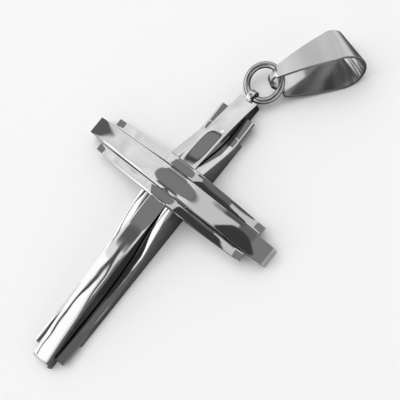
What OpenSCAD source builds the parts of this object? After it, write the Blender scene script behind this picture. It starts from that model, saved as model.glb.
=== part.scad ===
// Cross pendant of polished steel strips, lying on its back, in millimetres.
// X runs along the crossbar, Y runs along the upright towards the bail, Z points out of the front.
// The origin is on the flat back, under the middle of the crossing.

/* [Upright] */
// Length of the middle strip from the crossing to its top end
arm_up = 17.1; // [15:0.1:22]
// Length of the middle strip from the crossing to its foot
arm_down = 32.9; // [26:0.1:40]
// Length of the outer strips from the crossing to their top end
side_up = 14.45; // [13.2:0.05:14.9]
// Length of the outer strips from the crossing to their foot
side_down = 31.1; // [25.5:0.1:38]
// Width of the middle strip
centre_w = 3.1; // [2.6:0.05:3.8]
// Width of each outer strip
side_w = 1.45; // [1.2:0.05:2]
// Height of the middle strip at the crossing
centre_h = 5; // [4.6:0.05:5.6]
// Height of the middle strip at both ends
centre_tip_h = 1.9; // [1.6:0.05:2.4]
// Length below the crossing over which the middle strip stays level
centre_flat_l = 8; // [5:0.5:12]
// Rounding of the middle strip's front edge at the foot
foot_round = 0.8; // [0.2:0.1:1.2]

/* [Outer strips of the upright] */
// Height of the outer strips beside the crossing
side_h = 5; // [4.6:0.05:5.6]
// Slope of the outer strips above the crossing, in degrees
ramp_angle = 27; // [22:1:36]
// Radius of the hollow at the foot of that slope
ramp_hollow_r = 8; // [4:0.5:11]
// Height of the outer strips at their top end
side_top_h = 2; // [1.7:0.05:2.3]
// Distance below the crossing at which the swelling ends
swell_l = 11.4; // [9:0.1:13]
// Height of the outer strips where the swelling ends
swell_end_h = 2.7; // [2.2:0.05:3.2]
// Radius of the swelling below the crossing
swell_r = 29; // [22:1:45]
// Distance below the crossing at which the outer strips become level
level_l = 21.6; // [18:0.1:24]
// Height of the outer strips at their foot
side_foot_h = 1.5; // [1.3:0.05:1.8]

/* [Crossbar] */
// Half length of the middle strip
bar_l = 17.55; // [14.5:0.05:21]
// Half length of the outer strips
bar_side_l = 14.7; // [13.3:0.05:16]
// Width of the middle strip at the crossing
bar_centre_w = 3.45; // [3:0.05:3.9]
// Width of the middle strip at its ends
bar_tip_w = 2.95; // [2.4:0.05:3.4]
// Width over all three strips at the crossing
bar_w = 6.85; // [6.4:0.05:7.6]
// Width over all three strips at the ends of the outer ones
bar_end_w = 6; // [5.6:0.05:7.2]
// Height of the middle strip at the crossing
bar_h = 5.45; // [5:0.05:6]
// Height of the middle strip at its ends
bar_tip_h = 2.45; // [2:0.05:3]
// Radius of the crown on the middle strip
crown_r = 30; // [20:1:60]
// Half length of that crown
crown_l = 3; // [1.5:0.1:4]

/* [Outer strips of the crossbar] */
// Height of the outer strips at the crossing
bar_side_h = 5.4; // [5:0.05:5.9]
// Half length of their level top
bar_top_l = 0.9; // [0.5:0.1:1.5]
// Radius of the rounding beside the level top
bar_brow_r = 10; // [7:0.5:11]
// Slope beyond the rounding, in degrees
bar_ramp_angle = 17.5; // [16:0.5:19]
// Height at which that slope turns gentle
bar_knee_h = 3; // [2.9:0.05:3.2]
// Radius of the hollow there
bar_hollow_r = 20; // [8:1:25]
// Height of the outer strips at their ends
bar_side_tip_h = 2.5; // [2.3:0.05:2.6]
// Length of the thin tab at each end of the outer strips
bar_tab_l = 1.4; // [1:0.1:2.2]

/* [Thin ends] */
// Thickness of the outer strips' thin ends
tab_t = 0.55; // [0.4:0.05:0.8]
// Length of the thin ends on the upright
tab_l = 3.6; // [2:0.1:5]

/* [Fit of the strips] */
// Gap between neighbouring strips
strip_gap = 0.15; // [0.1:0.01:0.3]
// Height of the upright strips where the crossbar runs over them
lap_h = 2.2; // [1.8:0.05:2.6]
// Clearance round the lap
lap_gap = 0.05; // [0.03:0.01:0.1]
// Diameter of both hidden pins
pin_d = 1; // [0.7:0.05:1.1]
// Depth to which each pin end is seated
pin_seat = 1.5; // [1:0.1:2.5]
// Radial clearance round the pins
pin_gap = 0.04; // [0.02:0.01:0.08]

/* [Eyelet and ring] */
// Wall of the eyelet
eyelet_wall = 0.35; // [0.3:0.05:0.6]
// Width of the eyelet
eyelet_w = 0.95; // [0.8:0.05:1.4]
// Height of the eyelet's middle above the back
eyelet_z = 1.6; // [1.3:0.05:1.9]
// Clearance round the ring's wire in the eyelet
eyelet_gap = 0.16; // [0.14:0.01:0.3]
// Outer diameter of the ring
ring_d = 6.6; // [6:0.1:8]
// Wire diameter of the ring
wire_d = 1.05; // [0.8:0.05:1.15]
// Rise of the ring towards the bail, in degrees
ring_rise = 13; // [8:0.5:15]
// Sideways place of the ring's middle
ring_x = 0.35; // [0:0.05:0.5]

/* [Bail] */
// Thickness of the strap
strap_t = 0.45; // [0.35:0.05:0.55]
// Distance between the middle of the neck and the middle of the bend
bail_l = 8.35; // [7.5:0.05:11]
// Outer radius of the bend on the wide side
bend_r = 3.67; // [3:0.01:4]
// Outer radius of the bend on the tight side
tight_r = 2.22; // [2.1:0.01:2.9]
// Outer radius of the neck
neck_r = 1.99; // [1.95:0.01:2.2]
// Radius of the slightly bowed legs
leg_r = 32; // [20:1:60]
// Width of the strap at the bend
bail_w = 6.65; // [5.2:0.05:7.5]
// Width of the front leg at its narrow end
front_neck_w = 1.85; // [1.5:0.05:3]
// Width of the rear leg at its narrow end
rear_neck_w = 4.2; // [3:0.05:5]
// Width of the tongue that wraps the ring
tongue_w = 1.2; // [0.9:0.05:1.4]
// How the legs widen: 1 is straight, less is fuller near the neck
widening = 0.95; // [0.6:0.05:1]
// Place round the ring where the bail hangs, in degrees from the upright's line
hang_angle = 50; // [46:0.5:56]
// Direction of the bail, in degrees from the upright's line
bail_turn = 32.8; // [29:0.1:37]
// Roll of the bail about its own length, in degrees
bail_roll = 11.6; // [9:0.1:14]

/* [Hidden] */
$fn = 180;
steel = [0.78, 0.79, 0.8];
steel_side = [0.74, 0.75, 0.77];
steel_wire = [0.82, 0.83, 0.84];
tall = 12;
arc_step = 5;
arc_chord = 1.2;
// How many steps the strap takes round half its neck, along a leg and round its bend
neck_n = 10;
leg_n = 12;
bend_n = 24;

upright_w = centre_w + 2 * (strip_gap + side_w);
side_x = centre_w / 2 + strip_gap + side_w / 2;
notch_l = bar_w / 2 + lap_gap;
bridge_l = upright_w / 2 + lap_gap;
bridge_z = lap_h + lap_gap;

pin_across_z = lap_h / 2;
pin_along_z = (bridge_z + bar_side_h) / 2 - pin_d / 4;
pin_across_l = 2 * (bridge_l + pin_seat);
pin_along_l = 2 * (notch_l + pin_seat);
hole_d = pin_d + 2 * pin_gap;

wire_r = wire_d / 2;
ring_r = (ring_d - wire_d) / 2;
eyelet_in_r = wire_r + eyelet_gap;
eyelet_out_r = eyelet_in_r + eyelet_wall;
eyelet_y = arm_up + eyelet_in_r - eyelet_gap / 2;
ring_reach = sqrt(ring_r * ring_r - ring_x * ring_x);
ring_c = [ring_x, eyelet_y + ring_reach * cos(ring_rise), eyelet_z + ring_reach * sin(ring_rise)];

neck_in_r = neck_r - strap_t;
seat_a = 0.07 * neck_in_r;
seat_t = 0.23 * neck_in_r;
hang_dir = [sin(hang_angle), cos(hang_angle) * cos(ring_rise), cos(hang_angle) * sin(ring_rise)];
hang_p = ring_c + ring_r * hang_dir;

// Radius of an arc that starts level and falls by drop over run
function level_r(run, drop) = (run * run + drop * drop) / (2 * drop);

// Middle of the circle of radius r through p and q, above their chord for up = 1 and below it for up = -1
function arc_middle(p, q, r, up) =
    (p + q) / 2 + up * sqrt(r * r - pow(norm(q - p) / 2, 2)) * [p.y - q.y, q.x - p.x] / norm(q - p);

// The outline made of a right half's points and their mirror images
function whole(pts) = concat([for (i = [len(pts) - 1:-1:0]) if (pts[i].x > 0) [-pts[i].x, pts[i].y]], pts);

// Points after p up to q along an arc of radius r that bulges over the chord, with p to the left of q
function swell(p, q, r) = arc_points(arc_middle(p, q, r, -1), p, q, r);

// Points after p up to q along an arc of radius r that hangs below the chord, with p to the left of q
function dip(p, q, r) = arc_points(arc_middle(p, q, r, 1), p, q, r);

// Points after p up to q along the circle of radius r about c, the short way round
function arc_points(c, p, q, r) = sweep_points(c, r, heading(c, p), heading(c, q));

// Direction from c to p, in degrees
function heading(c, p) = atan2(p.y - c.y, p.x - c.x);

// Points on the circle of radius r about c from angle a0, itself left out, to angle a1
function sweep_points(c, r, a0, a1) =
    let (n = max(2, ceil(abs(a1 - a0) / arc_step), ceil(abs(a1 - a0) * PI * r / 180 / arc_chord)))
    [for (i = [1:n]) c + r * [cos(a0 + (a1 - a0) * i / n), sin(a0 + (a1 - a0) * i / n)]];

// Side view of the upright's middle strip, along Y and Z
module centre_profile() {
    run = arm_down - centre_flat_l;
    slope = asin(run / level_r(run, centre_h - centre_tip_h));
    edge_z = centre_tip_h - foot_round * (1 / cos(slope) - tan(slope));
    edge = [-arm_down, edge_z];
    crest = [-arm_down + foot_round * (1 - sin(slope)), edge_z + foot_round * cos(slope)];
    level = [-centre_flat_l, centre_h];
    brow = [0, centre_h];
    top = [arm_up, centre_tip_h];
    polygon(concat([[-arm_down, 0], edge],
        swell(edge, crest, foot_round),
        swell(crest, level, level_r(level.x - crest.x, level.y - crest.y)),
        [brow],
        swell(brow, top, level_r(arm_up, centre_h - centre_tip_h)),
        [[arm_up, 0]]));
}

// Side view of the upright's outer strips, along Y and Z
module side_profile() {
    foot = [-side_down, side_foot_h];
    level = [-level_l, side_foot_h];
    kink = [-swell_l, swell_end_h];
    shoulder = [-notch_l, side_h];
    knee = [notch_l + (side_h - side_top_h) / tan(ramp_angle), side_top_h];
    t = ramp_hollow_r * tan(ramp_angle / 2);
    fall = knee + t * [-cos(ramp_angle), sin(ramp_angle)];
    rest = knee + [t, 0];
    foot_step = -side_down + tab_l;
    top_step = side_up - tab_l;
    polygon(concat([[foot_step, 0], [foot_step, side_foot_h - tab_t], [-side_down, side_foot_h - tab_t]],
        [foot, level],
        dip(level, kink, level_r(kink.x - level.x, kink.y - level.y)),
        swell(kink, shoulder, swell_r),
        [[notch_l, side_h], fall],
        dip(fall, rest, ramp_hollow_r),
        [[side_up, side_top_h], [side_up, side_top_h - tab_t], [top_step, side_top_h - tab_t],
            [top_step, 0]]));
}

// Side view of the crossbar's middle strip, along X and Z
module bar_centre_profile() {
    a = asin(crown_l / crown_r);
    peak = [0, bar_h];
    blend = [crown_l, bar_h - crown_r * (1 - cos(a))];
    tip = [bar_l, bar_tip_h];
    run = tip.x - blend.x;
    drop = blend.y - tip.y;
    arm_r = (run * run + drop * drop) / (2 * (drop * cos(a) - run * sin(a)));
    polygon(whole(concat([peak], swell(peak, blend, crown_r), swell(blend, tip, arm_r), [[bar_l, 0]])));
}

// Side view of the crossbar's outer strips, along X and Z
module bar_side_profile() {
    a = bar_ramp_angle;
    level = [bar_top_l, bar_side_h];
    brow = level + bar_brow_r * [sin(a), cos(a) - 1];
    knee = [brow.x + (brow.y - bar_knee_h) / tan(a), bar_knee_h];
    tab = [bar_side_l - bar_tab_l, bar_side_tip_h];
    gentle = atan((knee.y - tab.y) / (tab.x - knee.x));
    t = bar_hollow_r * tan((a - gentle) / 2);
    fall = knee + t * [-cos(a), sin(a)];
    rest = knee + t * [cos(gentle), -sin(gentle)];
    polygon(whole(concat([level], swell(level, brow, bar_brow_r), [fall],
        dip(fall, rest, bar_hollow_r),
        [tab, [bar_side_l, tab.y], [bar_side_l, tab.y - tab_t], [tab.x, tab.y - tab_t], [tab.x, 0]])));
}

// Plan outline of width w0 in the middle that narrows along arcs to w1 at length l either side
module barrel(w0, w1, l) {
    side = swell([-l, w1 / 2], [l, w1 / 2], level_r(l, (w0 - w1) / 2));
    upper = concat([[-l, w1 / 2]], side);
    polygon(concat(upper, [for (i = [len(upper) - 1:-1:0]) [upper[i].x, -upper[i].y]]));
}

// Solid of a side view along Y and Z, w wide along X
module along_x(w) {
    rotate([90, 0, 90])
        linear_extrude(w, center = true)
            children();
}

// Solid of a side view along X and Z, w wide along Y
module along_y(w) {
    rotate([90, 0, 0])
        linear_extrude(w, center = true)
            children();
}

// Notch in the upright strips that takes the crossbar
module notch() {
    translate([-tall / 2, -notch_l, lap_h])
        cube([tall, 2 * notch_l, tall]);
}

// Space under the crossbar strips that takes the upright
module bridge() {
    translate([-bridge_l, -tall / 2, -1])
        cube([2 * bridge_l, tall, 1 + bridge_z]);
}

// A round bar of length l along X at height z, in the middle of the crossing
module bar_x(d, l, z) {
    translate([0, 0, z])
        rotate([0, 90, 0])
            cylinder(d = d, h = l, center = true);
}

// A round bar of length l along Y at height z, in the middle of the crossing
module bar_y(d, l, z) {
    translate([0, 0, z])
        rotate([90, 0, 0])
            cylinder(d = d, h = l, center = true);
}

// The eyelet that is soldered to the top end of the upright
module eyelet() {
    translate([0, eyelet_y, eyelet_z])
        rotate([0, 90, 0])
            cylinder(r = eyelet_out_r, h = eyelet_w, center = true);
}

// The way through the eyelet
module eyelet_hole() {
    translate([0, eyelet_y, eyelet_z])
        rotate([0, 90, 0])
            cylinder(r = eyelet_in_r, h = centre_w + 2, center = true);
}

module upright_centre() {
    color(steel)
        difference() {
            union() {
                along_x(centre_w)
                    centre_profile();
                eyelet();
            }
            notch();
            bar_x(hole_d, tall, pin_across_z);
            bar_y(hole_d, pin_along_l + 2 * pin_gap, pin_along_z);
            eyelet_hole();
        }
}

// An outer strip of the upright, centred on x
module upright_side(x) {
    color(steel_side)
        difference() {
            translate([x, 0, 0])
                along_x(side_w)
                    side_profile();
            notch();
            bar_x(hole_d, tall, pin_across_z);
        }
}

module upright_left() {
    upright_side(-side_x);
}

module upright_right() {
    upright_side(side_x);
}

module crossbar_centre() {
    color(steel)
        difference() {
            intersection() {
                along_y(bar_w)
                    bar_centre_profile();
                linear_extrude(tall)
                    barrel(bar_centre_w, bar_tip_w, bar_l);
            }
            bridge();
            bar_x(hole_d, pin_across_l + 2 * pin_gap, pin_across_z);
            bar_y(hole_d, tall, pin_along_z);
        }
}

// The crossbar's outer strip on the upper side
module bar_side() {
    difference() {
        intersection() {
            along_y(2 * bar_w)
                bar_side_profile();
            linear_extrude(tall)
                difference() {
                    barrel(bar_w, bar_end_w, bar_side_l);
                    barrel(bar_centre_w + 2 * strip_gap, bar_tip_w + 2 * strip_gap, bar_l);
                    translate([-2 * bar_l, -2 * bar_w])
                        square([4 * bar_l, 2 * bar_w]);
                }
        }
        bridge();
        bar_y(hole_d, tall, pin_along_z);
    }
}

module crossbar_upper() {
    color(steel_side)
        bar_side();
}

module crossbar_lower() {
    color(steel_side)
        mirror([0, 1, 0])
            bar_side();
}

module pin_across() {
    color(steel_wire)
        bar_x(pin_d, pin_across_l, pin_across_z);
}

module pin_along() {
    color(steel_wire)
        bar_y(pin_d, pin_along_l, pin_along_z);
}

module jump_ring() {
    color(steel_wire)
        translate(ring_c)
            rotate([ring_rise, 0, 0])
                rotate_extrude()
                    translate([ring_r, 0])
                        circle(d = wire_d, $fn = 48);
}

// Points along n steps of an arc about c from angle a0 to angle a1, without the last one
function steps(c, r, a0, a1, n) =
    [for (i = [0:n - 1]) c + r * [cos(a0 + (a1 - a0) * i / n), sin(a0 + (a1 - a0) * i / n)]];

// One side edge of the folded strap: length along x, depth along y, neck at the origin. It starts behind
// the ring, passes over the front leg, a bend of radius r and the rear leg, and ends where it started.
function edge_path(r, inset) =
    let (ra = neck_r - inset, rb = r - inset, rl = leg_r - inset, da = rl - ra, db = rl - rb)
    let (cx = (bail_l * bail_l + da * da - db * db) / (2 * bail_l), cy = sqrt(da * da - cx * cx))
    let (neck_a = atan2(cy, -cx), bend_a = atan2(cy, bail_l - cx))
    concat(steps([0, 0], ra, 180, neck_a, neck_n), steps([cx, -cy], rl, neck_a, bend_a, leg_n),
        steps([bail_l, 0], rb, bend_a, -bend_a, bend_n), steps([cx, cy], rl, -bend_a, -neck_a, leg_n),
        steps([0, 0], ra, -neck_a, -180, neck_n));

// Width of a leg at each step from its neck to the bend
function leg_widths(neck_w) = [for (i = [0:leg_n - 1]) neck_w + (bail_w - neck_w) * pow(i / leg_n, widening)];

// The values of a list from its end to its start
function back(list) = [for (i = [len(list) - 1:-1:0]) list[i]];

// Width of the strap at each step of its path
function strap_widths() = concat([for (i = [0:neck_n - 1]) tongue_w], leg_widths(front_neck_w),
    [for (i = [0:bend_n]) bail_w], back(leg_widths(rear_neck_w)), [for (i = [1:neck_n - 1]) tongue_w]);

// The strap in its own place: X across, Y along its length, Z towards the front leg
module strap() {
    widths = strap_widths();
    outer = [edge_path(tight_r, 0), edge_path(bend_r, 0)];
    inner = [edge_path(tight_r, strap_t), edge_path(bend_r, strap_t)];
    n = len(widths);
    points = [for (i = [0:n - 1]) for (e = [[outer[0], -1], [outer[1], 1], [inner[1], 1], [inner[0], -1]])
        [e[1] * widths[i] / 2, e[0][i].x, e[0][i].y]];
    faces = [for (i = [0:n - 1]) for (k = [0:3])
        let (j = (i + 1) % n, m = (k + 1) % 4)
        for (f = [[4 * i + k, 4 * j + k, 4 * j + m], [4 * i + k, 4 * j + m, 4 * i + m]]) f];
    polyhedron(points, faces);
}

module bail() {
    color(steel)
        translate(hang_p)
            rotate([0, 0, -bail_turn])
                rotate([0, -bail_roll, 0])
                    translate([0, seat_a, seat_t])
                        strap();
}

upright_centre();
upright_left();
upright_right();
crossbar_centre();
crossbar_upper();
crossbar_lower();
pin_across();
pin_along();
jump_ring();
bail();
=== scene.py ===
"""Cross pendant of polished steel strips, with its jump ring and flared bail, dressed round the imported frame.

X runs along the crossbar, Y along the upright towards the bail and Z out of the front, and the back lies on
z = 0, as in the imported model. Lengths are in metres, apart from the bail's sizes, which are in mm as in
part.scad, and those whose names end in mm.
"""

import logging
import math
from dataclasses import dataclass
from enum import Enum

import bmesh
import bpy
from mathutils import Matrix, Vector


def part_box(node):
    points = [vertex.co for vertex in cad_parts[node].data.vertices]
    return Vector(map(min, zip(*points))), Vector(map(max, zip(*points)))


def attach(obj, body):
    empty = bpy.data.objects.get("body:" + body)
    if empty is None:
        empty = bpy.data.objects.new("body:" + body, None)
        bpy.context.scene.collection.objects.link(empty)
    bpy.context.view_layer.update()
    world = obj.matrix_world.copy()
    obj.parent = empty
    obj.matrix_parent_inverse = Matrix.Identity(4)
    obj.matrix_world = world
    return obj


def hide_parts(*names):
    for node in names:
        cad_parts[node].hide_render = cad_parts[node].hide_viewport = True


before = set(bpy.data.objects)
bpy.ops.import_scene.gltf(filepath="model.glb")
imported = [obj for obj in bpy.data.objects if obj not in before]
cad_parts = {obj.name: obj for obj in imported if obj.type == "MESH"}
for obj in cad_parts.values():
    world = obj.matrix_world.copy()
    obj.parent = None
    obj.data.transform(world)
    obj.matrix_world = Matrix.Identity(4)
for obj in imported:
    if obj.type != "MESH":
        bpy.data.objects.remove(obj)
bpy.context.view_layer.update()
LOG = logging.getLogger("cross_pendant")

Socket = bpy.types.NodeSocket
Value = float | Socket

MM = 0.001
LINE_STRETCH = 0.08  # pattern scale along the polishing lines, against 1 across them
NOISE_MIDDLE = 0.5  # mean grey of a noise texture
MARK_LEVELS = (0.45, 0.75)  # noise between which a handling mark sets in
CROWN_POWER = 2.0  # how a ground face falls away from its middle line
EDGE_POWER = 5.0  # how it rolls off at its two long edges
FLAT_ANGLE = math.radians(0.2)  # faces that meet at less than this become one
ROUNDING_STEPS = 3  # rows of faces on a rounded edge
ROUND_PROFILE = 0.5  # a circular section
WIDE_FACE_WEIGHT = 90  # how far wide faces decide the normals, of 100
SOFTEST = 0.9  # softest edge that a card may have, as a share of its half width


class Lay(Enum):
    """Which way the polishing lines of a surface run, as the scales of their pattern in X, Y and Z."""

    ALONG_X = (LINE_STRETCH, 1.0, 1.0)
    ALONG_Y = (1.0, LINE_STRETCH, 1.0)
    ROUND = (1.0, 1.0, 1.0)


class StripFace(Enum):
    """The kinds of face of a ground strip, each with its own material slot on the mesh."""

    POLISHED = 0
    CUT = 1
    CHAMFER = 2


class StrapFace(Enum):
    """The kinds of face of the bail's strap, each with its own material slot on the mesh."""

    WIDE = 0
    EDGE = 1


class NodeTree:
    """A shader node tree, with short calls for the nodes that the finishes and the studio are made of."""

    def __init__(self, tree: bpy.types.ShaderNodeTree) -> None:
        """Wraps the tree."""
        self.tree = tree
        self.nodes = tree.nodes

    def link(self, value: Value, socket: Socket) -> None:
        """Feeds a socket.

        Args:
            value: A number, or another node's output.
            socket: The input that gets it.
        """
        if isinstance(value, Socket):
            self.tree.links.new(value, socket)
        else:
            socket.default_value = value

    def coordinates(self, kind: str) -> Socket:
        """The texture coordinates of that kind."""
        return self.nodes.new("ShaderNodeTexCoord").outputs[kind]

    def split(self, vector: Socket) -> tuple[Socket, ...]:
        """Takes a vector apart.

        Args:
            vector: The vector.

        Returns:
            Its X, Y and Z.
        """
        node = self.nodes.new("ShaderNodeSeparateXYZ")
        self.link(vector, node.inputs[0])
        return tuple(node.outputs)

    def math(self, operation: str, *values: Value) -> Socket:
        """Adds a Math node.

        Args:
            operation: What it works out, such as MULTIPLY.
            values: Its numbers or sockets, in order.

        Returns:
            Its output.
        """
        node = self.nodes.new("ShaderNodeMath")
        node.operation = operation
        for socket, value in zip(node.inputs, values):
            self.link(value, socket)
        return node.outputs[0]

    def beyond(self, offset: Value, half: Value) -> Socket:
        """How far an offset from a middle goes beyond half a width, negative inside it."""
        return self.math("SUBTRACT", self.math("ABSOLUTE", offset), half)

    def project(self, place: tuple[Socket, Socket], way: tuple[float, float], zero: float) -> Socket:
        """Reads a place in a plane along one direction.

        Args:
            place: Its X and Y.
            way: The direction's X and Y.
            zero: What is taken off, so that the reading is 0 there.

        Returns:
            The reading.
        """
        start = self.math("MULTIPLY_ADD", place[0], way[0], -zero)
        return self.math("MULTIPLY_ADD", place[1], way[1], start)

    def step(self, value: Value, start: float, stop: float) -> Socket:
        """Adds a smooth step.

        Args:
            value: What it reads.
            start: Where it is 0.
            stop: Where it reaches 1, which may lie below start.

        Returns:
            The step's value.
        """
        node = self.nodes.new("ShaderNodeMapRange")
        node.interpolation_type = "SMOOTHSTEP"
        self.link(value, node.inputs["Value"])
        node.inputs["From Min"].default_value = start
        node.inputs["From Max"].default_value = stop
        return node.outputs["Result"]

    def noise(self, vector: Socket, scale: Value, detail: float, roughness: float = 0.5) -> Socket:
        """Adds a noise texture.

        Args:
            vector: Where it is read.
            scale: Its features per metre.
            detail: How many finer layers it has.
            roughness: How strong the finer layers are.

        Returns:
            Its grey value.
        """
        node = self.nodes.new("ShaderNodeTexNoise")
        self.link(vector, node.inputs["Vector"])
        self.link(scale, node.inputs["Scale"])
        node.inputs["Detail"].default_value = detail
        node.inputs["Roughness"].default_value = roughness
        return node.outputs["Fac"]

    def group(self, group: bpy.types.ShaderNodeTree, **values: Value) -> bpy.types.Node:
        """Places a node group.

        Args:
            group: The group.
            values: What feeds its inputs, which are named with underscores for spaces.

        Returns:
            The placed node.
        """
        node = self.nodes.new("ShaderNodeGroup")
        node.node_tree = group
        for label, value in values.items():
            self.link(value, node.inputs[label.replace("_", " ")])
        return node


def grey(tone: float) -> tuple[float, float, float, float]:
    """An opaque grey of that tone."""
    return (tone, tone, tone, 1.0)


def shared_group(name: str, inputs: dict[str, float], outputs: list[str],
                 vectors: tuple[str, ...]) -> tuple[NodeTree, dict[str, Socket], dict[str, Socket]]:
    """Starts a shader node group.

    Args:
        name: The group's name.
        inputs: The default value of each float input.
        outputs: The names of its float outputs.
        vectors: The names of its vector inputs.

    Returns:
        The group's tree, its inputs by name and its output sockets by name.
    """
    tree = bpy.data.node_groups.new(name, "ShaderNodeTree")
    for label in vectors:
        tree.interface.new_socket(label, in_out="INPUT", socket_type="NodeSocketVector")
    for label, value in inputs.items():
        socket = tree.interface.new_socket(label, in_out="INPUT", socket_type="NodeSocketFloat")
        socket.default_value = value
    for label in outputs:
        tree.interface.new_socket(label, in_out="OUTPUT", socket_type="NodeSocketFloat")
    given, result = tree.nodes.new("NodeGroupInput"), tree.nodes.new("NodeGroupOutput")
    return NodeTree(tree), {s.name: s for s in given.outputs}, {s.name: s for s in result.inputs}


def polish_relief() -> bpy.types.ShaderNodeTree:
    """Builds the relief that hand polishing leaves: slow waves and fine parallel lines, as a height.

    Returns:
        The shared node group.
    """
    if "polish_relief" in bpy.data.node_groups:
        return bpy.data.node_groups["polish_relief"]
    sizes = {"Wave Scale": 160.0, "Wave Height": 1.5e-4, "Line Scale": 9000.0, "Line Height": 4e-7}
    tree, given, result = shared_group("polish_relief", sizes, ["Height"], vectors=("Vector", "Lay"))
    waves = tree.noise(given["Vector"], given["Wave Scale"], detail=1.0, roughness=0.3)
    waves = tree.math("MULTIPLY", waves, given["Wave Height"])
    lines = tree.noise(given["Lay"], given["Line Scale"], detail=3.0, roughness=0.6)
    lines = tree.math("MULTIPLY", lines, given["Line Height"])
    tree.link(tree.math("ADD", waves, lines), result["Height"])
    return tree.tree


def ground_face() -> bpy.types.ShaderNodeTree:
    """Builds the shape that grinding leaves on a strip's face, as a height.

    The face is crowned across and rolls off at its two long edges. Towards its ends it bends down and twists
    outwards.

    Returns:
        The shared node group.
    """
    if "ground_face" in bpy.data.node_groups:
        return bpy.data.node_groups["ground_face"]
    sizes = {"Across": 0.0, "Middle": 0.0, "Half Width": 1.7 * MM, "Crown": 3e-5, "Drop": 3e-5,
             "Along": 0.0, "End Start": 9.0 * MM, "End Curve": 0.0, "End Twist": 0.0}
    tree, given, result = shared_group("ground_face", sizes, ["Height"], vectors=())
    offset = tree.math("SUBTRACT", given["Across"], given["Middle"])
    share = tree.math("ABSOLUTE", tree.math("DIVIDE", offset, given["Half Width"]))
    crown = tree.math("MULTIPLY", tree.math("POWER", share, CROWN_POWER), given["Crown"])
    edges = tree.math("MULTIPLY", tree.math("POWER", share, EDGE_POWER), given["Drop"])
    past = tree.math("MAXIMUM", tree.beyond(given["Along"], given["End Start"]), 0.0)
    bend = tree.math("MULTIPLY", tree.math("MULTIPLY", past, past), given["End Curve"])
    twist = tree.math("MULTIPLY", tree.math("MULTIPLY", past, offset), given["End Twist"])
    fall = tree.math("ADD", tree.math("ADD", crown, edges), tree.math("ADD", bend, twist))
    tree.link(tree.math("MULTIPLY", fall, -1.0), result["Height"])
    return tree.tree


def handling_marks() -> bpy.types.ShaderNodeTree:
    """Builds the faint cloudy marks of handling, which dull the polish a little.

    Returns:
        The shared node group.
    """
    if "handling_marks" in bpy.data.node_groups:
        return bpy.data.node_groups["handling_marks"]
    sizes = {"Scale": 400.0, "Base": 0.08, "Amount": 0.05}
    tree, given, result = shared_group("handling_marks", sizes, ["Roughness"], vectors=("Vector",))
    cloud = tree.step(tree.noise(given["Vector"], given["Scale"], detail=4.0), *MARK_LEVELS)
    tree.link(tree.math("MULTIPLY_ADD", cloud, given["Amount"], given["Base"]), result["Roughness"])
    return tree.tree


@dataclass(frozen=True)
class SteelFinish:
    """A finish of the steel: how bright, how smooth, how wavy and how its polishing lines run.

    The marks are how much roughness a handling mark adds. The polish has waves, wave_scale of them to a metre,
    and lines. A finish with a half width also has a ground face of that half width, round the line at middle.
    """

    name: str
    tone: float = 0.78
    roughness: float = 0.035
    marks: float = 0.03
    lay: Lay = Lay.ROUND
    wave_scale: float = 160.0
    wave_height: float = 1.5e-4
    line_height: float = 3e-7
    middle: float = 0.0
    half_width: float = 0.0
    crown: float = 0.0
    drop: float = 3e-5
    end_start: float = 9.0 * MM
    end_curve: float = 0.0
    end_twist: float = 0.0

    def relief(self, tree: NodeTree, place: Socket) -> Socket:
        """Works out the height of the surface.

        Args:
            tree: The material's nodes.
            place: The object coordinates.

        Returns:
            The height of the polish, and of the ground face where the finish has one.
        """
        stretch = tree.nodes.new("ShaderNodeMapping")
        stretch.inputs["Scale"].default_value = self.lay.value
        tree.link(place, stretch.inputs["Vector"])
        polish = tree.group(polish_relief(), Vector=place, Lay=stretch.outputs["Vector"],
                            Wave_Scale=self.wave_scale, Wave_Height=self.wave_height,
                            Line_Height=self.line_height)
        if not self.half_width:
            return polish.outputs["Height"]
        x, y, _ = tree.split(place)
        across, along = (y, x) if self.lay is Lay.ALONG_X else (x, y)
        face = tree.group(ground_face(), Across=across, Middle=self.middle, Half_Width=self.half_width,
                          Crown=self.crown, Drop=self.drop, Along=along, End_Start=self.end_start,
                          End_Curve=self.end_curve, End_Twist=self.end_twist)
        return tree.math("ADD", polish.outputs["Height"], face.outputs["Height"])

    def material(self) -> bpy.types.Material:
        """Builds the finish as a node material, once.

        Returns:
            The material.
        """
        if self.name in bpy.data.materials:
            return bpy.data.materials[self.name]
        made = bpy.data.materials.new(self.name)
        made.use_nodes = True
        tree = NodeTree(made.node_tree)
        steel = tree.nodes["Principled BSDF"]
        steel.inputs["Metallic"].default_value = 1.0
        steel.inputs["Base Color"].default_value = grey(self.tone)
        place = tree.coordinates("Object")
        bump = tree.nodes.new("ShaderNodeBump")
        bump.inputs["Distance"].default_value = 1.0
        tree.link(self.relief(tree, place), bump.inputs["Height"])
        tree.link(bump.outputs["Normal"], steel.inputs["Normal"])
        marks = tree.group(handling_marks(), Vector=place, Base=self.roughness, Amount=self.marks)
        tree.link(marks.outputs["Roughness"], steel.inputs["Roughness"])
        return made


# The strips' cut sides: a rougher finish, and a darker tone than the polished faces that is painted shade.
SHADED_CUT_SIDE = SteelFinish("steel_cut_side_painted_shade", tone=0.6, roughness=0.12, marks=0.06, wave_height=5e-6)
# The centre strips' sides, between the outer strips: a near black tone that is painted shade between the parts.
SHADED_INNER_SIDE = SteelFinish("steel_inner_side_painted_shade", tone=0.16, roughness=0.18, marks=0.08, wave_height=5e-6)
# The ground chamfers: a darker tone than the faces, painted shade that dims their highlights to grey edge lines.
CHAMFER = SteelFinish("steel_chamfer_painted_shade", tone=0.5, roughness=0.1, wave_height=0.0)
RING_WIRE = SteelFinish("steel_ring_wire", tone=0.52, roughness=0.07, wave_height=5e-6)
BAIL_STRAP = SteelFinish("steel_bail_strap", tone=0.72, roughness=0.12, wave_height=4e-6)
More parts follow.
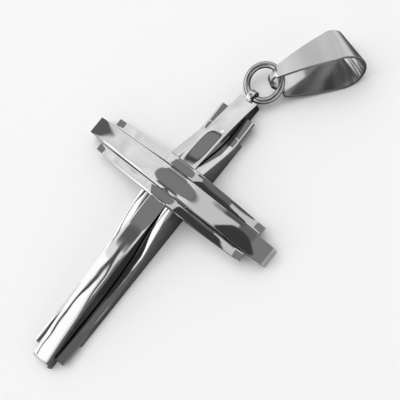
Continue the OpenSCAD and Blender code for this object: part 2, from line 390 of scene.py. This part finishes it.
# The strap's thin edges: a dark tone that is painted shade on them.
SHADED_BAIL_EDGE = SteelFinish("steel_bail_edge_painted_shade", tone=0.3, roughness=0.12, wave_height=0.0)
PIN_ROD = SteelFinish("steel_pin_rod", tone=0.55, roughness=0.3, wave_height=0.0)


def add_piece(name: str, mesh: bpy.types.Mesh) -> bpy.types.Object:
    """Links a new object at the origin, unturned and unscaled.

    Args:
        name: The object's name.
        mesh: The mesh that it carries.

    Returns:
        The object.
    """
    piece = bpy.data.objects.new(name, mesh)
    bpy.context.scene.collection.objects.link(piece)
    return piece


def freeze(piece: bpy.types.Object) -> None:
    """Turns the piece with its modifiers into a plain mesh and clears the modifiers.

    Args:
        piece: The object to freeze.
    """
    graph = bpy.context.evaluated_depsgraph_get()
    mesh = bpy.data.meshes.new_from_object(piece.evaluated_get(graph), depsgraph=graph)
    piece.modifiers.clear()
    piece.data = mesh
    mesh.name = piece.name


def round_edges(form: bmesh.types.BMesh, crease: float, width: float, slot: int) -> None:
    """Rounds the sharp edges of a mesh.

    Args:
        form: The mesh.
        crease: The angle from which an edge counts as sharp.
        width: How far a rounding reaches into each face.
        slot: The material slot of the new faces.
    """
    sharp = [edge for edge in form.edges if edge.calc_face_angle(0.0) > crease]
    bmesh.ops.bevel(form, geom=sharp, offset=width, offset_type="OFFSET", segments=ROUNDING_STEPS,
                    profile=ROUND_PROFILE, affect="EDGES", clamp_overlap=True, material=slot)


def soften_normals(piece: bpy.types.Object) -> None:
    """Keeps wide faces flat in shading and lets the narrow roundings blend between them.

    Args:
        piece: The object, whose modifiers are applied with it.
    """
    piece.data.polygons.foreach_set("use_smooth", [True] * len(piece.data.polygons))
    weighted = piece.modifiers.new("weighted", "WEIGHTED_NORMAL")
    weighted.mode = "FACE_AREA"
    weighted.weight = WIDE_FACE_WEIGHT
    freeze(piece)


@dataclass(frozen=True)
class GroundStrip:
    """One strip of the cross: its solid from the frame with ground chamfers and its own finishes.

    The crown slope is how steeply the crown falls at the strip's long edges. Further along the strip than
    end_start from the frame's origin, the face bends down by end_curve and twists outwards by end_twist. Edges
    sharper than the crease get a chamfer, points closer than merge become one, and a face is a cut side where
    its normal's share across the strip is over cut_side.
    """

    node: str
    lay: Lay
    # The side finish is a darker tone of the steel: painted shade on the side walls.
    side: SteelFinish = SHADED_CUT_SIDE
    crown_slope: float = 0.03
    end_start: float = 9.0 * MM
    end_curve: float = 0.0
    end_twist: float = 0.0
    chamfer: float = 0.045 * MM
    crease: float = math.radians(14)
    merge: float = 0.001 * MM
    cut_side: float = 0.9

    @property
    def across(self) -> int:
        """The axis across the strip."""
        return 1 if self.lay is Lay.ALONG_X else 0

    def polish(self) -> SteelFinish:
        """Fits the polish of the strip's faces to its width.

        Returns:
            A finish of the strip's own.
        """
        low, high = (corner[self.across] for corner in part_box(self.node))
        half_width = (high - low) / 2
        return SteelFinish(f"steel_{self.node}", lay=self.lay, middle=(low + high) / 2, half_width=half_width,
                           crown=self.crown_slope * half_width / 2, end_start=self.end_start,
                           end_curve=self.end_curve, end_twist=self.end_twist)

    def build(self) -> bpy.types.Object:
        """Copies the strip's solid, cleans it and rounds its sharp edges.

        Returns:
            The dressed strip.
        """
        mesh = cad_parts[self.node].data.copy()
        mesh.materials.clear()
        # The sides and chamfers take darker tones than the polished faces: painted shade.
        for finish in (self.polish(), self.side, CHAMFER):
            mesh.materials.append(finish.material())
        form = bmesh.new()
        form.from_mesh(mesh)
        bmesh.ops.remove_doubles(form, verts=form.verts, dist=self.merge)
        bmesh.ops.dissolve_limit(form, angle_limit=FLAT_ANGLE, verts=form.verts, edges=form.edges)
        for face in form.faces:
            cut = abs(face.normal[self.across]) > self.cut_side
            face.material_index = (StripFace.CUT if cut else StripFace.POLISHED).value
        round_edges(form, self.crease, self.chamfer, StripFace.CHAMFER.value)
        form.to_mesh(mesh)
        form.free()
        piece = add_piece(self.node + "_ground", mesh)
        soften_normals(piece)
        return piece

    def dress(self) -> bpy.types.Object:
        """Builds the strip and puts it in its solid's place.

        Returns:
            The dressed strip.
        """
        piece = self.build()
        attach(piece, "root")
        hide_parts(self.node)
        return piece


@dataclass(frozen=True)
class Cross:
    """The upright's three strips, the crossbar's three strips and the hidden pins that hold them."""

    strips: tuple[GroundStrip, ...] = (
        # The centre strips' sides carry the painted shade between the strips.
        GroundStrip("upright_centre", Lay.ALONG_Y, side=SHADED_INNER_SIDE, crown_slope=0.045),
        GroundStrip("upright_left", Lay.ALONG_Y),
        GroundStrip("upright_right", Lay.ALONG_Y, end_start=11.5 * MM, end_curve=3.0, end_twist=10.5),
        GroundStrip("crossbar_centre", Lay.ALONG_X, side=SHADED_INNER_SIDE, crown_slope=0.045, end_curve=7.6),
        GroundStrip("crossbar_upper", Lay.ALONG_X),
        GroundStrip("crossbar_lower", Lay.ALONG_X),
    )
    pins: tuple[str, ...] = ("pin_across", "pin_along")

    def build(self) -> list[bpy.types.Object]:
        """Gives the pins their plain finish and dresses the six strips.

        Returns:
            The pins and the strips.
        """
        pins = [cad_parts[node] for node in self.pins]
        for pin in pins:
            pin.data.materials.clear()
            pin.data.materials.append(PIN_ROD.material())
        return pins + [strip.dress() for strip in self.strips]


@dataclass(frozen=True)
class JumpRing:
    """The closed wire ring between the eyelet and the bail, swept by geometry nodes.

    It leans on the eyelet, so that its side towards the bail rises by the angle rise.
    """

    node: str = "jump_ring"
    wire: float = 1.05 * MM
    rise: float = math.radians(13)
    steps: int = 160
    facets: int = 40

    def centre(self) -> Vector:
        """The middle of the ring."""
        low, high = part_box(self.node)
        return (low + high) / 2

    def radius(self) -> float:
        """The radius of the wire's middle line."""
        low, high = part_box(self.node)
        return (high.x - low.x - self.wire) / 2

    def tree(self) -> bpy.types.GeometryNodeTree:
        """Builds the node tree that sweeps a round wire along a tilted circle.

        Returns:
            The tree, with named inputs for its sizes, place and material.
        """
        tree = bpy.data.node_groups.new("wire_ring", "GeometryNodeTree")
        for label, kind in (("Ring Radius", "Float"), ("Wire Radius", "Float"), ("Centre", "Vector"),
                            ("Tilt", "Vector"), ("Steps", "Int"), ("Facets", "Int"), ("Finish", "Material")):
            tree.interface.new_socket(label, in_out="INPUT", socket_type="NodeSocket" + kind)
        tree.interface.new_socket("Geometry", in_out="OUTPUT", socket_type="NodeSocketGeometry")
        kinds = ("NodeGroupInput", "GeometryNodeCurvePrimitiveCircle", "GeometryNodeCurvePrimitiveCircle",
                 "GeometryNodeCurveToMesh", "GeometryNodeSetShadeSmooth", "GeometryNodeTransform",
                 "GeometryNodeRealizeInstances", "GeometryNodeSetMaterial", "NodeGroupOutput")
        given, ring, wire, sweep, smooth, place, real, paint, result = map(tree.nodes.new, kinds)
        for start, output, stop, socket in (
            (given, "Ring Radius", ring, "Radius"),
            (given, "Steps", ring, "Resolution"),
            (given, "Wire Radius", wire, "Radius"),
            (given, "Facets", wire, "Resolution"),
            (ring, "Curve", sweep, "Curve"),
            (wire, "Curve", sweep, "Profile Curve"),
            (sweep, "Mesh", smooth, "Geometry"),
            (smooth, "Geometry", place, "Geometry"),
            (given, "Centre", place, "Translation"),
            (given, "Tilt", place, "Rotation"),
            (place, "Geometry", real, "Geometry"),
            (real, "Geometry", paint, "Geometry"),
            (given, "Finish", paint, "Material"),
            (paint, "Geometry", result, "Geometry"),
        ):
            tree.links.new(start.outputs[output], stop.inputs[socket])
        return tree

    def build(self) -> bpy.types.Object:
        """Sweeps the ring where its solid lies.

        Returns:
            The dressed ring.
        """
        values = {
            "Ring Radius": self.radius(),
            "Wire Radius": self.wire / 2,
            "Centre": self.centre(),
            "Tilt": (self.rise, 0.0, 0.0),
            "Steps": self.steps,
            "Facets": self.facets,
            "Finish": RING_WIRE.material(),
        }
        piece = add_piece("jump_ring_wire", bpy.data.meshes.new("jump_ring_wire"))
        sweep = piece.modifiers.new("sweep", "NODES")
        sweep.node_group = self.tree()
        for socket in sweep.node_group.interface.items_tree:
            if socket.in_out == "INPUT":
                sweep[socket.identifier] = values[socket.name]
        freeze(piece)
        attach(piece, "root")
        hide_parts(self.node)
        return piece


@dataclass(frozen=True)
class Bail:
    """The flared strap folded round the jump ring, with the sizes in mm that part.scad gives its solid.

    From the neck round the ring, two bowed legs widen towards the bend, whose radius is tighter at one edge.
    The neck hangs on the ring at the angle hang from its top, and the seat is how far the neck's middle lies off
    the wire, along the strap and through it, as shares of the neck's inner radius.
    """

    node: str = "bail"
    ring: JumpRing = JumpRing()
    thickness: float = 0.45
    length: float = 8.35
    bend: float = 3.67
    tight_bend: float = 2.22
    neck: float = 1.99
    leg: float = 32.0
    width: float = 6.65
    front_neck_width: float = 1.85
    rear_neck_width: float = 4.2
    tongue_width: float = 1.2
    widening: float = 0.95
    rounding: float = 0.05
    seat: tuple[float, float] = (0.07, 0.23)
    hang: float = math.radians(50)
    turn: float = math.radians(32.8)
    roll: float = math.radians(11.6)
    crease: float = math.radians(30)
    neck_steps: int = 14
    leg_steps: int = 36
    bend_steps: int = 48

    def arc(self, centre: tuple[float, float], radius: float, start: float, stop: float,
            steps: int) -> list[tuple[float, float]]:
        """Points of an arc without its last one."""
        angles = [start + (stop - start) * i / steps for i in range(steps)]
        return [(centre[0] + radius * math.cos(a), centre[1] + radius * math.sin(a)) for a in angles]

    def edge_path(self, bend: float, inset: float) -> list[tuple[float, float]]:
        """Draws one side edge of the strap, from behind the ring over the bend and back.

        Args:
            bend: Outer radius of the bend on that side.
            inset: How far inside the outer face the path lies.

        Returns:
            Points of length and depth.
        """
        neck, bend, leg = self.neck - inset, bend - inset, self.leg - inset
        to_neck, to_bend = leg - neck, leg - bend
        x = (self.length**2 + to_neck**2 - to_bend**2) / (2 * self.length)
        y = math.sqrt(to_neck**2 - x**2)
        neck_angle, bend_angle = math.atan2(y, -x), math.atan2(y, self.length - x)
        path = self.arc((0, 0), neck, math.pi, neck_angle, self.neck_steps)
        path += self.arc((x, -y), leg, neck_angle, bend_angle, self.leg_steps)
        path += self.arc((self.length, 0), bend, bend_angle, -bend_angle, self.bend_steps)
        path += self.arc((x, y), leg, -bend_angle, -neck_angle, self.leg_steps)
        return path + self.arc((0, 0), neck, -neck_angle, -math.pi, self.neck_steps)

    def leg_widths(self, start: float) -> list[float]:
        """Widths of a leg from its neck, start wide, to just before the bend."""
        shares = [(i / self.leg_steps) ** self.widening for i in range(self.leg_steps)]
        return [start + (self.width - start) * share for share in shares]

    def widths(self) -> list[float]:
        """Lists the width of the strap along its path.

        Returns:
            One width for each point of the path.
        """
        tongue = [self.tongue_width] * self.neck_steps
        front, rear = self.leg_widths(self.front_neck_width), self.leg_widths(self.rear_neck_width)[::-1]
        return tongue + front + [self.width] * (self.bend_steps + 1) + rear + tongue[1:]

    def edge_loop(self, form: bmesh.types.BMesh, side: int, bend: float,
                  inset: float) -> list[bmesh.types.BMVert]:
        """Adds the points of one long edge of the strap.

        Args:
            form: The mesh that gets them.
            side: 1 or -1, for the side of the strap.
            bend: Outer radius of the bend on that side.
            inset: How far inside the outer face the edge lies.

        Returns:
            The points, in order.
        """
        return [form.verts.new((side * width / 2 * MM, length * MM, depth * MM))
                for width, (length, depth) in zip(self.widths(), self.edge_path(bend, inset))]

    def place(self) -> Matrix:
        """Works out where the strap hangs on the jump ring.

        Returns:
            The turn and shift from the strap's own frame.
        """
        rise = self.ring.rise
        outwards = Vector((math.sin(self.hang), math.cos(self.hang) * math.cos(rise),
                           math.cos(self.hang) * math.sin(rise)))
        inner_neck = (self.neck - self.thickness) * MM
        seat = Matrix.Translation((0, self.seat[0] * inner_neck, self.seat[1] * inner_neck))
        turned = Matrix.Rotation(-self.turn, 4, "Z") @ Matrix.Rotation(-self.roll, 4, "Y")
        return Matrix.Translation(self.ring.centre() + self.ring.radius() * outwards) @ turned @ seat

    def build(self) -> bpy.types.Object:
        """Sweeps the strap, rounds its long edges and hangs it on the ring.

        Returns:
            The dressed bail.
        """
        form = bmesh.new()
        outer_far, inner_far, outer_near, inner_near = [
            self.edge_loop(form, side, bend, inset)
            for side, bend in ((-1, self.tight_bend), (1, self.bend))
            for inset in (0.0, self.thickness)]
        walls = ((outer_far, outer_near, StrapFace.WIDE), (outer_near, inner_near, StrapFace.EDGE),
                 (inner_near, inner_far, StrapFace.WIDE), (inner_far, outer_far, StrapFace.EDGE))
        count = len(outer_far)
        for i in range(count):
            j = (i + 1) % count
            for one, two, kind in walls:
                form.faces.new((one[i], one[j], two[j], two[i])).material_index = kind.value
        bmesh.ops.recalc_face_normals(form, faces=form.faces)
        round_edges(form, self.crease, self.rounding * MM, StrapFace.EDGE.value)
        mesh = bpy.data.meshes.new("bail_strap")
        # The edges take a darker tone than the wide faces: painted shade.
        for finish in (BAIL_STRAP, SHADED_BAIL_EDGE):
            mesh.materials.append(finish.material())
        form.to_mesh(mesh)
        form.free()
        mesh.transform(self.place())
        piece = add_piece("bail_strap", mesh)
        soften_normals(piece)
        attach(piece, "root")
        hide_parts(self.node)
        return piece


@dataclass(frozen=True)
class Card:
    """A card hung in the light tent: its place and size in the level plane one unit above the pendant.

    Its outline is a superellipse, an oval at corner 2 and nearly a rectangle from 5, turned anticlockwise as
    seen from above. The softness is half the width of its soft edge.
    """

    across: float
    along: float
    half_width: float
    half_height: float
    tone: float
    turn: float = 0.0
    corner: float = 5.0
    softness: float = 0.02

    def cover(self, tree: NodeTree, place: tuple[Socket, Socket]) -> Socket:
        """Works out where the card is seen.

        Args:
            tree: The world's nodes.
            place: Where a ray meets the plane.

        Returns:
            1 on the card and 0 off it, soft at its edge.
        """
        shares = []
        for angle, half in ((self.turn, self.half_width), (self.turn + math.pi / 2, self.half_height)):
            x, y = math.cos(angle) / half, math.sin(angle) / half
            share = tree.math("ABSOLUTE", tree.project(place, (x, y), self.across * x + self.along * y))
            shares.append(tree.math("POWER", share, self.corner))
        soft = min(SOFTEST, self.softness / min(self.half_width, self.half_height))
        return tree.step(tree.math("ADD", *shares), (1 + soft) ** self.corner, (1 - soft) ** self.corner)


@dataclass(frozen=True)
class Tent:
    """The light tent: walls that brighten upwards, soft folds in them, and cards, the later over the earlier.

    The wall goes from its first tone to its second between the two heights, as sines of the angle above the
    horizon. A direction below the lowest height meets the cards' plane as if it rose to that height.
    """

    wall_tones: tuple[float, float] = (0.68, 0.85)
    wall_heights: tuple[float, float] = (0.3, 0.5)
    fold_scale: float = 7.0
    fold_detail: float = 2.0
    fold_depth: float = 0.6
    lowest: float = 0.05
    cards: tuple[Card, ...] = (
        # A dark wedge low on the left and a grey panel on the right.
        Card(-5.2, 0.27, 3.25, 0.75, 0.12, turn=-0.05, corner=1.1, softness=0.05),
        Card(0.7, 0.1, 0.5, 0.7, 0.23),
        # A bright panel with a dark notch beyond the foot on the left, and a dark panel right of it.
        Card(-1.315, -1.355, 0.885, 1.245, 1.25, corner=9.0),
        Card(-0.45, -1.37, 0.11, 0.26, 0.13, softness=0.03),
        Card(0.36, -0.95, 0.71, 0.65, 0.13, turn=-0.02, corner=9.0),
        # A pale panel over the bright one's inner corner, and three thin dark bars.
        Card(-0.69, -0.86, 0.36, 0.018, 0.1, turn=math.radians(75.6), softness=0.012),
        Card(-0.66, -0.09, 0.198, 0.11, 0.9),
        Card(-0.555, -0.41, 0.208, 0.016, 0.08, turn=math.radians(65.9), softness=0.012),
        Card(-0.405, -0.29, 0.14, 0.016, 0.08, turn=math.radians(104.5), softness=0.012),
        # A light panel straight above.
        Card(0.02, 0.05, 0.19, 0.35, 0.66),
        # Left of it a grey oval and a grey rounded square, each on a darker card that rims it.
        Card(-0.45, 0.058, 0.322, 0.123, 0.09, turn=0.04, corner=2.2, softness=0.008),
        Card(-0.45, 0.058, 0.308, 0.113, 0.23, turn=0.04, corner=2.2, softness=0.006),
        Card(-0.47, 0.455, 0.18, 0.2, 0.05, corner=3.2, softness=0.012),
        Card(-0.47, 0.455, 0.15, 0.17, 0.23, corner=3.2, softness=0.012),
        # The grey between the two, a small bright spot past the square, and two cards at the oval's other side.
        Card(-0.465, 0.17, 0.16, 0.05, 0.21, corner=6.0, softness=0.01),
        Card(-0.44, 0.69, 0.035, 0.02, 1.3, corner=2.0, softness=0.008),
        Card(-0.46, -0.065, 0.14, 0.06, 0.23, corner=8.0, softness=0.015),
        Card(-0.46, -0.095, 0.13, 0.03, 0.12, corner=3.0, softness=0.02),
        # Dark patches on the light panel and beside it.
        Card(0.3, 0.12, 0.1, 0.15, 0.15),
        Card(0.09, 0.215, 0.13, 0.085, 0.1, corner=6.0),
        Card(0.23, -0.07, 0.24, 0.14, 0.05, corner=2.0, softness=0.008),
        Card(-0.1, -0.24, 0.22, 0.11, 0.15, corner=4.0),
    )

    def build(self) -> None:
        """Lights the scene from the tent, whose every point is read by the direction it lies in."""
        world = bpy.data.worlds.new("tent")
        world.use_nodes = True
        bpy.context.scene.world = world
        tree = NodeTree(world.node_tree)
        direction = tree.coordinates("Generated")
        x, y, z = tree.split(direction)
        height = tree.math("MAXIMUM", z, self.lowest)
        place = (tree.math("DIVIDE", x, height), tree.math("DIVIDE", y, height))
        low, high = self.wall_tones
        light = tree.math("MULTIPLY_ADD", tree.step(z, *self.wall_heights), high - low, low)
        folds = tree.noise(direction, self.fold_scale, self.fold_detail)
        folds = tree.math("SUBTRACT", folds, NOISE_MIDDLE)
        light = tree.math("MULTIPLY_ADD", folds, self.fold_depth, light)
        for card in self.cards:
            change = tree.math("SUBTRACT", card.tone, light)
            light = tree.math("MULTIPLY_ADD", change, card.cover(tree, place), light)
        tree.link(light, tree.nodes["Background"].inputs["Color"])


@dataclass(frozen=True)
class Lamp:
    """A wide soft lamp, its energy in watts, that brightens the floor but isn't mirrored in the steel."""

    size: float = 0.7
    energy: float = 2.35
    place: tuple[float, float, float] = (-0.1, 0.05, 0.6)

    def build(self) -> None:
        """Hangs the lamp, turned towards the pendant."""
        lamp = bpy.data.lights.new("overhead", "AREA")
        lamp.shape = "DISK"
        lamp.size = self.size
        lamp.energy = self.energy
        holder = bpy.data.objects.new("overhead", lamp)
        holder.location = self.place
        holder.rotation_euler = (-Vector(self.place)).to_track_quat("-Z", "Y").to_euler()
        holder.visible_glossy = False
        bpy.context.scene.collection.objects.link(holder)


@dataclass(frozen=True)
class Floor:
    """A pale matt floor, which the steel mirrors with painted shade: a dark tone close to the pendant.

    The two tones of the painted shade hold close to the pendant and away from it, and the rim is the distance
    over which one gives way to the other. At both ends of a strip whose half length is over long_half, the
    painted shade stops short by light_ends. Under the bail only a patch past its bend is painted dark, given by
    its half sizes and how far its middle lies from the neck.
    """

    size: float = 1.6
    tone: float = 0.9
    roughness: float = 0.6
    reflected_shade_tones: tuple[float, float] = (0.1, 0.75)
    rim: tuple[float, float] = (-2.0 * MM, 12.0 * MM)
    long_half: float = 12.0 * MM
    light_ends: float = 7.0 * MM
    patch_half_width: float = 6.0 * MM
    patch_half_length: float = 3.5 * MM
    patch_middle: float = 15.0 * MM

    def beside(self, tree: NodeTree, place: tuple[Socket, Socket], node: str) -> list[Socket]:
        """Measures how far a point lies beside a solid.

        Args:
            tree: The floor's nodes.
            place: The point's X and Y.
            node: The solid's node.

        Returns:
            The distances outside its box in X and in Y, negative inside it.
        """
        low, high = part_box(node)
        sides = []
        for axis, socket in enumerate(place):
            half = (high[axis] - low[axis]) / 2
            if half > self.long_half:
                half -= self.light_ends
            offset = tree.math("SUBTRACT", socket, (low[axis] + high[axis]) / 2)
            sides.append(tree.beyond(offset, half))
        return sides

    def past_bend(self, tree: NodeTree, place: tuple[Socket, Socket], bail: Bail) -> list[Socket]:
        """Measures how far a point lies from the painted shade patch past the bail's bend.

        Args:
            tree: The floor's nodes.
            place: The point's X and Y.
            bail: The bail.

        Returns:
            The distances outside the patch across and along the bail, negative inside it.
        """
        neck = bail.place().translation
        sides = []
        for turn, middle, half in ((bail.turn, 0.0, self.patch_half_width),
                                   (bail.turn - math.pi / 2, self.patch_middle, self.patch_half_length)):
            x, y = math.cos(turn), -math.sin(turn)
            sides.append(tree.beyond(tree.project(place, (x, y), neck.x * x + neck.y * y + middle), half))
        return sides

    def shade_gap(self, tree: NodeTree, place: tuple[Socket, Socket]) -> Socket:
        """Measures how far a point lies from the floor's painted shade.

        Args:
            tree: The floor's nodes.
            place: The point's X and Y.

        Returns:
            The distance, negative inside the painted shade.
        """
        bail, shade_gap = Bail(), None
        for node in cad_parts:
            dark = self.past_bend(tree, place, bail) if node == bail.node else self.beside(tree, place, node)
            outside = tree.math("MAXIMUM", *dark)
            shade_gap = outside if shade_gap is None else tree.math("MINIMUM", shade_gap, outside)
        return shade_gap

    def paint(self) -> bpy.types.Material:
        """Builds the floor's material, plain to the camera, with painted shade near the pendant that only the
        steel's reflections see.

        Returns:
            The material.
        """
        paint = bpy.data.materials.new("floor_white")
        paint.use_nodes = True
        tree = NodeTree(paint.node_tree)
        surface = tree.nodes["Principled BSDF"]
        surface.inputs["Base Color"].default_value = grey(self.tone)
        surface.inputs["Roughness"].default_value = self.roughness
        shade_gap = self.shade_gap(tree, tree.split(tree.coordinates("Object"))[:2])
        # Glossy rays see the floor dark near the pendant: painted shade, in place of the pendant's shadow on it.
        near, far = self.reflected_shade_tones
        tone = tree.math("MULTIPLY_ADD", tree.step(shade_gap, *self.rim), far - near, near)
        mirrored = tree.nodes.new("ShaderNodeBsdfDiffuse")
        tree.link(tone, mirrored.inputs["Color"])
        path, mix = tree.nodes.new("ShaderNodeLightPath"), tree.nodes.new("ShaderNodeMixShader")
        tree.link(path.outputs["Is Glossy Ray"], mix.inputs["Fac"])
        tree.link(surface.outputs["BSDF"], mix.inputs[1])
        tree.link(mirrored.outputs["BSDF"], mix.inputs[2])
        tree.link(mix.outputs["Shader"], tree.nodes["Material Output"].inputs["Surface"])
        return paint

    def build(self) -> None:
        """Lays the floor under the pendant."""
        mesh = bpy.data.meshes.new("floor")
        form = bmesh.new()
        bmesh.ops.create_grid(form, x_segments=1, y_segments=1, size=self.size / 2)
        form.to_mesh(mesh)
        form.free()
        mesh.materials.append(self.paint())
        add_piece("floor", mesh)


@dataclass(frozen=True)
class Camera:
    """The camera at the photograph's angle.

    The tilts are how far it leans from straight above towards +X and +Y, and the roll turns it about its axis.
    """

    target_mm: tuple[float, float, float] = (4.01, 0.518, 2.0)
    tilt_x: float = math.radians(21.999)
    tilt_y: float = math.radians(-2.806)
    roll: float = math.radians(-38.637)
    distance: float = 120.082 * MM
    nearest: float = 5.0 * MM
    lens_mm: float = 73.167
    sensor_mm: float = 36.0

    def build(self) -> None:
        """Sets up the camera and makes it the scene's."""
        x, y = math.sin(self.tilt_x), math.sin(self.tilt_y)
        back = Vector((x, y, math.sqrt(1 - x * x - y * y)))
        side = (-back).cross(Vector((0, 1, 0))).normalized()
        rise = side.cross(-back)
        right = side * math.cos(self.roll) - rise * math.sin(self.roll)
        up = side * math.sin(self.roll) + rise * math.cos(self.roll)
        lens = bpy.data.cameras.new("camera")
        lens.sensor_width = self.sensor_mm
        lens.sensor_fit = "HORIZONTAL"
        lens.lens = self.lens_mm
        lens.clip_start = self.nearest
        holder = bpy.data.objects.new("camera", lens)
        turn = Matrix((right, up, back)).transposed().to_4x4()
        holder.matrix_world = Matrix.Translation(Vector(self.target_mm) * MM + back * self.distance) @ turn
        bpy.context.scene.collection.objects.link(holder)
        bpy.context.scene.camera = holder


@dataclass(frozen=True)
class Studio:
    """The camera, the light tent, the lamp and the floor."""

    camera: Camera = Camera()
    tent: Tent = Tent()
    lamp: Lamp = Lamp()
    floor: Floor = Floor()

    def build(self) -> None:
        """Sets them up, with tones shown as they are."""
        for item in (self.camera, self.tent, self.lamp, self.floor):
            item.build()
        bpy.context.scene.view_settings.view_transform = "Standard"


def main() -> None:
    """Builds the pendant and its studio and reports each piece."""
    logging.basicConfig(level=logging.INFO, format="%(message)s")
    Studio().build()
    pieces = Cross().build() + [JumpRing().build(), Bail().build()]
    for piece in pieces:
        LOG.info("%s: %d faces", piece.name, len(piece.data.polygons))


if __name__ == "__main__":
    main()
